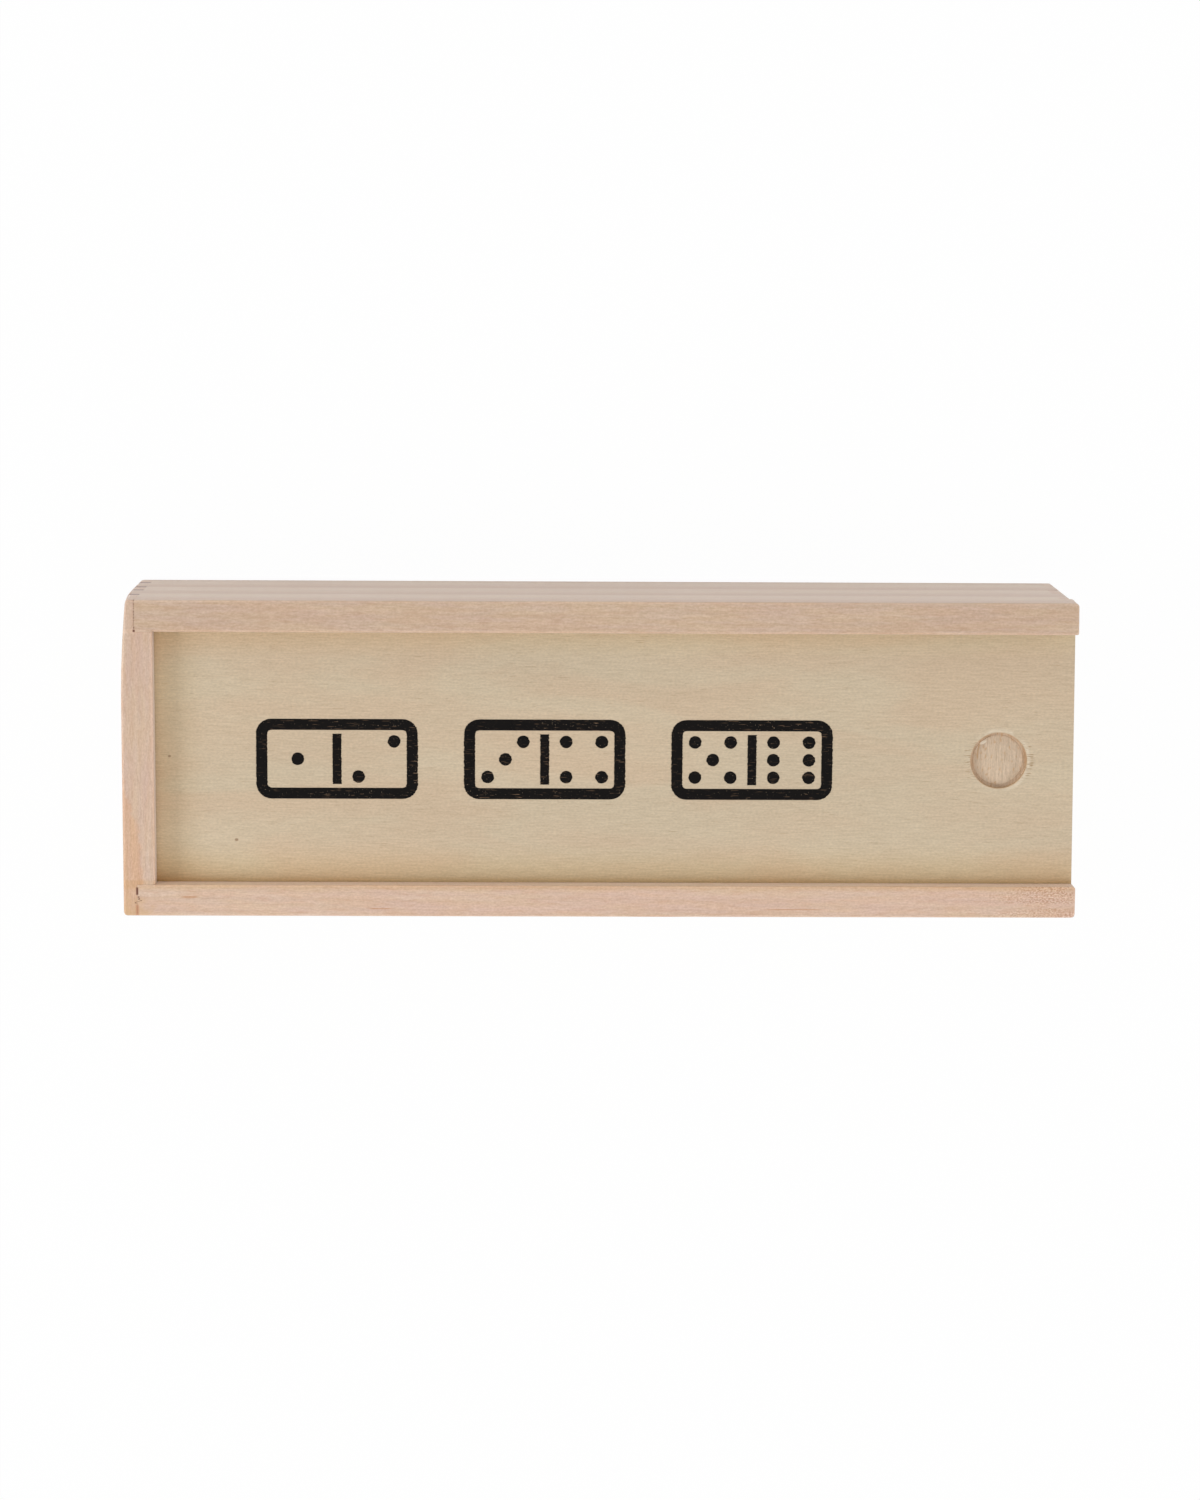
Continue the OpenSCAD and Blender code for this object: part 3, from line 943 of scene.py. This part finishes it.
def pin_knots(finish, colour):
    for x, y, radius in PIN_KNOTS:
        centred = finish.mapped(finish.millimetres(), place=(-x, -y, 0))
        reach = finish.length(finish.mapped(centred, scale=(0.8, 1, 0)))
        colour = finish.mix(finish.spread(reach, radius * 0.5, radius * 1.5, 0.8, 0.0), colour, KNOT_BROWN)
    return colour


def bored_edge(finish, colour):
    """The pale halo, the torn fibres and the singed edge round the recess's mouth."""
    place = finish.millimetres()
    x, y, z = finish.apart(place)
    distance = from_axis(finish)
    patches = finish.noise(place, scale=0.45)
    lifted = finish.noise(place, stretch=(1.0, 5.0, 1.0))
    slanting = finish.math("MULTIPLY_ADD", y, HALO_SLANT, x)
    middle = RECESS_X + HALO_SLANT * RECESS_Y
    halo = finish.all_of(
        finish.between(distance, RECESS_R + 0.1, RECESS_R + 0.6, 0.25),
        finish.spread(slanting, middle - 4, middle + 2, 0.2, 1.0),
        finish.spread(patches, 0.36, 0.52),
        finish.spread(lifted, 0.35, 0.65, 0.4, 1.0),
    )
    tears = finish.noise(place, stretch=(0.7, 7.0, 1.0), detail=1.0)
    torn = finish.all_of(
        finish.spread(tears, 0.56, 0.66),
        finish.between(distance, RECESS_R, RECESS_R + 1.1, 0.25),
        finish.spread(finish.away(y, RECESS_Y), 2.2, 3.6, 1.0, 0.0),
        TORN_SHARE,
    )
    colour = finish.mix(halo, colour, PALE_FIBRE)
    colour = finish.mix(torn, colour, TORN)
    return finish.mix(finish.spread(distance, RECESS_R, RECESS_R + 0.08, 0.5, 0.0), colour, SCORCH)


def lid_face_finish():
    finish, colour, height, roughness = veneer("lid_veneer", "X", FACE_TONES)
    for mark in (painted_lip_shade, pin_knots, bored_edge):
        colour = mark(finish, colour)
    return finish.surface(colour, roughness, height, bump_mm=0.025)


LID_VENEER = lid_face_finish()
print("lid face finish:", LID_VENEER.name)

# %% [markdown]
# ## Core veneer
#
# The recess's floor is core veneer, darker and with stronger fibres. Besides the scorched groove it
# shows where the bit slipped: a short second arc, whose centre lies beside the hole's. Small stains
# follow the fibres, and near the upper left rim a flake has come loose; its pale paint is also a
# painted highlight, for the light that its lifted edge catches. The flake is an ellipse: the
# distance from a point, measured after the plane is turned and stretched.

# %% Core veneer, with the scorched groove
CORE_TONES = paint_tone(210, 187, 161), paint_tone(203, 176, 146), paint_tone(164, 130, 94)
CORE_CONTRAST = 0.15
GROOVE_SCORCH = 0.6
CHATTER_CENTRE = 5.75, 0.3  # from the axis
CHATTER_R = 9.0
CHATTER_Y = 0.1, 3.2  # from the axis, across the lid
FLAKE_HIGHLIGHT = paint_tone(236, 222, 200)
FLAKE_PLACE = -2.4, 2.75  # from the axis
FLAKE_TURN = math.radians(-25)


def groove_scorch(finish):
    """How burnt the floor's rim is: patchy, and painted lighter on the front side against its shade."""
    x, y, z = finish.axes()
    patches = finish.noise(finish.millimetres(), scale=0.6, detail=3.0)
    uneven = finish.math("ADD", from_axis(finish), finish.spread(patches, 0.3, 0.7, -0.2, 0.2))
    inner_edge = RECESS_R - RIM_GROOVE
    front_side = RECESS_Y - RECESS_R
    return finish.all_of(
        finish.spread(uneven, inner_edge - 0.25, inner_edge + 0.15),
        finish.spread(patches, 0.3, 0.7, 0.45, 1.0),
        # Painted light: less scorch on the front side offsets the shade that the recess's wall casts there.
        finish.spread(y, front_side, front_side + 6.0, 0.15, 1.0),
        GROOVE_SCORCH,
    )


def chatter_arc(finish):
    """The arc that the bit left when it slipped."""
    x, y, z = finish.axes()
    off_arc = finish.away(from_axis(finish, *CHATTER_CENTRE), CHATTER_R)
    low, high = (RECESS_Y + limit for limit in CHATTER_Y)
    return finish.all_of(finish.spread(off_arc, 0.05, 0.18, 0.7, 0.0), finish.between(y, low, high, 0.3))


def lid_core_finish():
    finish, colour, height, roughness = veneer("lid_core", "Y", CORE_TONES, CORE_CONTRAST)
    stains = finish.noise(finish.millimetres(), stretch=(2.0, 0.9, 1.0), detail=3.0)
    stained = finish.spread(stains, 0.54, 0.70, 0.0, 0.6)
    burnt = finish.any_of(groove_scorch(finish), chatter_arc(finish), stained)
    colour = finish.mix(burnt, colour, SCORCH)
    flake_centre = (-RECESS_X - FLAKE_PLACE[0], -RECESS_Y - FLAKE_PLACE[1], 0)
    turned = finish.mapped(finish.mapped(finish.millimetres(), place=flake_centre), turn=(0, 0, FLAKE_TURN))
    reach = finish.length(finish.mapped(turned, scale=(1.0, 2.4, 0)))
    # The loose flake, painted pale: partly the flake's own colour, partly a painted highlight.
    colour = finish.mix(finish.spread(reach, 0.45, 0.70), FLAKE_HIGHLIGHT, colour)
    return finish.surface(colour, roughness, height, bump_mm=0.04)


LID_CORE = lid_core_finish()
print("lid core finish:", LID_CORE.name)

# %% [markdown]
# ## The lid's plies and the bottom
#
# Each ply is a thin sheet with edges barely broken, since plywood's edges stay crisp. The lid was
# sanded flush with the open end, so it gets the same skew. The groove round the recess's floor is
# real geometry, because its shadow is what makes it show: the floor is lowered, and then all of it
# but a ring along the rim is raised again by two insets.

# %% Lid plies and bottom panel
PLY_EDGE = 0.05 * MM
GROOVE_DEPTH = 0.06 * MM
GROOVE_SIDE = 0.04 * MM
SHEETS = [  # name, node, finish, body, record slot
    ("lid_face", "lid_face_ply", LID_VENEER, "lid", "lid_veneer"),
    ("lid_core", "lid_core_ply", LID_CORE, "lid", "core_veneer"),
    ("lid_back", "lid_back_ply", PANEL_VENEER, "lid", "lid_veneer"),
    ("bottom_board", "bottom_panel", PANEL_VENEER, "box", "lid_veneer"),
]


def cut_rim_groove(core):
    """Lowers the recess's floor, then raises all of it but a ring along its rim."""
    middle = Vector((RECESS_X, RECESS_Y, 0)) * MM
    reach = RECESS_R * 1.01 * MM
    inside = [f for f in core.faces if all((v.co - middle).xy.length < reach for v in f.verts)]
    floor = max(inside, key=lambda face: face.normal.z * face.calc_area())
    bmesh.ops.translate(core, verts=floor.verts, vec=(0, 0, -GROOVE_DEPTH))
    bmesh.ops.inset_individual(core, faces=[floor], thickness=RIM_GROOVE * MM, use_even_offset=True)
    bmesh.ops.inset_individual(
        core, faces=[floor], thickness=GROOVE_SIDE, depth=GROOVE_DEPTH, use_even_offset=True
    )
    print("groove round the recess's floor, corners:", len(floor.verts))


for name, node, material, body, slot in SHEETS:
    sheet = joined_copy(node)
    edges = soften(sheet, PLY_EDGE)
    if body == "lid":
        for vert in sheet.verts:
            vert.co.x -= skew_sanding(vert.co)
    if node == "lid_core_ply":
        cut_rim_groove(sheet)
    print(name, "edges softened:", edges)
    piece_object(sheet, name, [material], body, [node])

# %% [markdown]
# ## The print on the lid
#
# The lid carries a black print, put on by a screen and a squeegee: three dominoes in outline, one
# to six. A texture could draw it, but a print has its own gloss and edge, so it is a mesh: a film
# of ink three hundredths of a millimetre thick, which also prints in 3-D.
#
# Each outline is a single face whose corners are bevelled and which is then inset: the inset's
# rim is the stroke, and the face inside it is thrown away. Dots are capped circles.

# %% Shapes of the print
INK_LIFT = 0.03 * MM
PRINT_LEFT = -54.2 * MM
PRINT_RIGHT = 36.5 * MM
PRINT_MIDDLE_Y = -0.35 * MM
DOMINO_L = 25.4 * MM
DOMINO_W = 12.7 * MM
DOMINO_CORNER = 2.4 * MM
OUTLINE_W = 1.75 * MM
BAR_W = 0.8 * OUTLINE_W
BAR_L = DOMINO_W - 2 * OUTLINE_W - 1.2 * MM
PRINT_DOT_R = 1.0 * MM
PRINT_DOT_PITCH = 2.8 * MM


def dot_places(count):
    """Where the dots of one half lie, in steps of the pitch, with (along, across) the domino."""
    places = [(0, 0)] if count % 2 else []
    if count >= 2:
        places += [(-1, -1), (1, 1)]
    if count >= 4:
        places += [(-1, 1), (1, -1)]
    if count >= 6:
        places += [(-1, 0), (1, 0)]
    return places


def printed_oblong(ink, middle, length, width):
    """One face on the lid. Returns its corners."""
    place = Matrix.Translation(middle) @ Matrix.Diagonal((length, width, 1, 1))
    return bmesh.ops.create_grid(ink, x_segments=1, y_segments=1, size=0.5, matrix=place)["verts"]


def printed_outline(ink, middle):
    """A rounded frame: one face, corners bevelled, inset, and its middle deleted."""
    corners = printed_oblong(ink, middle, DOMINO_L, DOMINO_W)
    bmesh.ops.bevel(
        ink, geom=corners, offset=DOMINO_CORNER, offset_type="OFFSET",
        affect="VERTICES", segments=8, profile=0.5, material=-1,
    )
    face = [f for f in ink.faces if (f.calc_center_median() - middle).length < 0.01 * MM][0]
    bmesh.ops.inset_individual(ink, faces=[face], thickness=OUTLINE_W, use_even_offset=True)
    bmesh.ops.delete(ink, geom=[face], context="FACES")


def printed_dots(ink, middle, count):
    for along, across in dot_places(count):
        place = Matrix.Translation(middle + Vector((along, across, 0)) * PRINT_DOT_PITCH)
        bmesh.ops.create_circle(ink, cap_ends=True, segments=28, radius=PRINT_DOT_R, matrix=place)


print("print, mm:", round((PRINT_RIGHT - PRINT_LEFT) / MM, 1), "by", DOMINO_W / MM)

# %% [markdown]
# ## Ink on wood
#
# Ink creeps along the fibres, so its edges are ragged where a stroke crosses the grain and clean
# where it runs along it. The edges are subdivided into short steps, and each point slides along X,
# the way of the fibres, by a noise that changes quickly across them. In the same way the film has
# hairline cracks along the fibres, and specks where it didn't reach the wood's pores.

# %% Ink
INK_STEP = 0.16 * MM
INK_CREEP = 0.13 * MM
INK_BLACK = paint_tone(22, 19, 18)
INK_DEEP_BLACK = paint_tone(14, 13, 13)
HAIRLINE = paint_tone(132, 106, 84)
BARE_SPECK = paint_tone(176, 156, 132)


def ragged(ink):
    """Splits the outlines into short steps and lets the ink creep along the fibres."""
    long_edges = [e for e in ink.edges if e.is_boundary and e.calc_length() > 2 * INK_STEP]
    for edge in long_edges:
        cuts = int(edge.calc_length() / INK_STEP)
        bmesh.ops.subdivide_edges(ink, edges=[edge], cuts=cuts)
    for vert in ink.verts:
        place = Vector((vert.co.x / MM * 0.4, vert.co.y / MM * 6.5, 0))
        vert.co.x += INK_CREEP * noise.noise(place)


def ink_finish():
    """Dull black with hairline cracks along the fibres and specks where the wood shows through."""
    finish = Finish("print_ink")
    place = finish.millimetres()
    film = finish.noise(place, scale=0.8, detail=4.0)
    colour = finish.mix(film, INK_BLACK, INK_DEEP_BLACK)
    worn = finish.spread(finish.noise(place, scale=0.12), 0.35, 0.65, 0.25, 0.8)
    hairs = finish.noise(place, stretch=(0.5, 8.0, 1.0), detail=1.0)
    colour = finish.mix(finish.all_of(finish.spread(hairs, 0.66, 0.74), worn), colour, HAIRLINE)
    specks = finish.noise(place, scale=4.5, detail=1.0)
    colour = finish.mix(finish.all_of(finish.spread(specks, 0.70, 0.76), worn), colour, BARE_SPECK)
    height = finish.noise(place, stretch=(0.4, 6.0, 6.0))
    return finish.surface(colour, 0.7, height, bump_mm=0.01, specular=0.06)


ink = bmesh.new()
gap = ((PRINT_RIGHT - PRINT_LEFT) - 3 * DOMINO_L) / 2
half = Vector(((DOMINO_L - OUTLINE_W * 0.4) / 4, 0, 0))
for index in range(3):
    middle_x = PRINT_LEFT + DOMINO_L / 2 + index * (DOMINO_L + gap)
    middle = Vector((middle_x, PRINT_MIDDLE_Y, LID_TOP + INK_LIFT))
    printed_outline(ink, middle)
    printed_oblong(ink, middle, BAR_W, BAR_L)
    printed_dots(ink, middle - half, 2 * index + 1)
    printed_dots(ink, middle + half, 2 * index + 2)
ragged(ink)
film = bmesh.ops.extrude_face_region(ink, geom=ink.faces[:])
lower = [item for item in film["geom"] if isinstance(item, bmesh.types.BMVert)]
bmesh.ops.translate(ink, verts=lower, vec=(0, 0, -INK_LIFT))
bmesh.ops.recalc_face_normals(ink, faces=ink.faces[:])
print("ink faces:", len(ink.faces))
piece_object(ink, "print_ink", [ink_finish()], "lid")

# %% [markdown]
# ## Lacquer and paint for the dominoes
#
# Twenty-eight tiles lie in the box: wood, lacquered black, with dots and a dividing line pressed
# in and painted white. The lacquer is thin, so the pores still show as a faint texture, and it is
# the only glossy finish here. Paint that was filled in and wiped off is thinner in places.

# %% Lacquer and paint
def lacquer_finish():
    """Thin black lacquer: the wood's pores still show as a faint texture."""
    finish = Finish("black_lacquer")
    place = finish.millimetres()
    film = finish.noise(place, scale=0.25, detail=3.0)
    colour = finish.mix(film, paint_tone(26, 24, 24), paint_tone(33, 31, 30))
    pores = finish.noise(place, stretch=(4.0, 0.3, 4.0))
    roughness = finish.spread(film, 0.3, 0.7, 0.26, 0.38)
    return finish.surface(colour, roughness, pores, bump_mm=0.02)


def dot_paint_finish():
    """Slightly warm white paint, thinner in places."""
    finish = Finish("dot_paint")
    cover = finish.noise(finish.millimetres(), scale=1.6, detail=3.0)
    thinner = finish.spread(cover, 0.35, 0.7)
    colour = finish.mix(thinner, paint_tone(236, 232, 222), paint_tone(218, 212, 200))
    return finish.surface(colour, 0.55, cover, bump_mm=0.02)


LACQUER = lacquer_finish()
DOT_PAINT = dot_paint_finish()
print("tile finishes:", LACQUER.name, DOT_PAINT.name)

# %% [markdown]
# ## The dominoes
#
# Each tile keeps its node's mesh, since the frame already has the hollows, and only needs its two
# finishes. They could be assigned by hand, face by face, for each of the twenty-eight. But every
# face that lies below the flat top is inside a hollow, so one test finds what takes the paint.

# %% Tiles
TILE_EDGE_MARGIN = 0.6 * MM
HOLLOW_DEPTH = 0.02 * MM


def domino(node):
    low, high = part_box(node)
    tile = joined_copy(node)
    for face in tile.faces:
        place = face.calc_center_median()
        inside_x = low.x + TILE_EDGE_MARGIN < place.x < high.x - TILE_EDGE_MARGIN
        inside_y = low.y + TILE_EDGE_MARGIN < place.y < high.y - TILE_EDGE_MARGIN
        in_hollow = inside_x and inside_y and low.z + MM < place.z < high.z - HOLLOW_DEPTH
        face.material_index = 1 if in_hollow else 0
    name = node.replace("tile", "domino")
    return piece_object(tile, name, [LACQUER, DOT_PAINT], "box", [node])


tiles = [domino(node) for node in sorted(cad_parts) if node.startswith("tile_")]
print("tiles:", len(tiles))
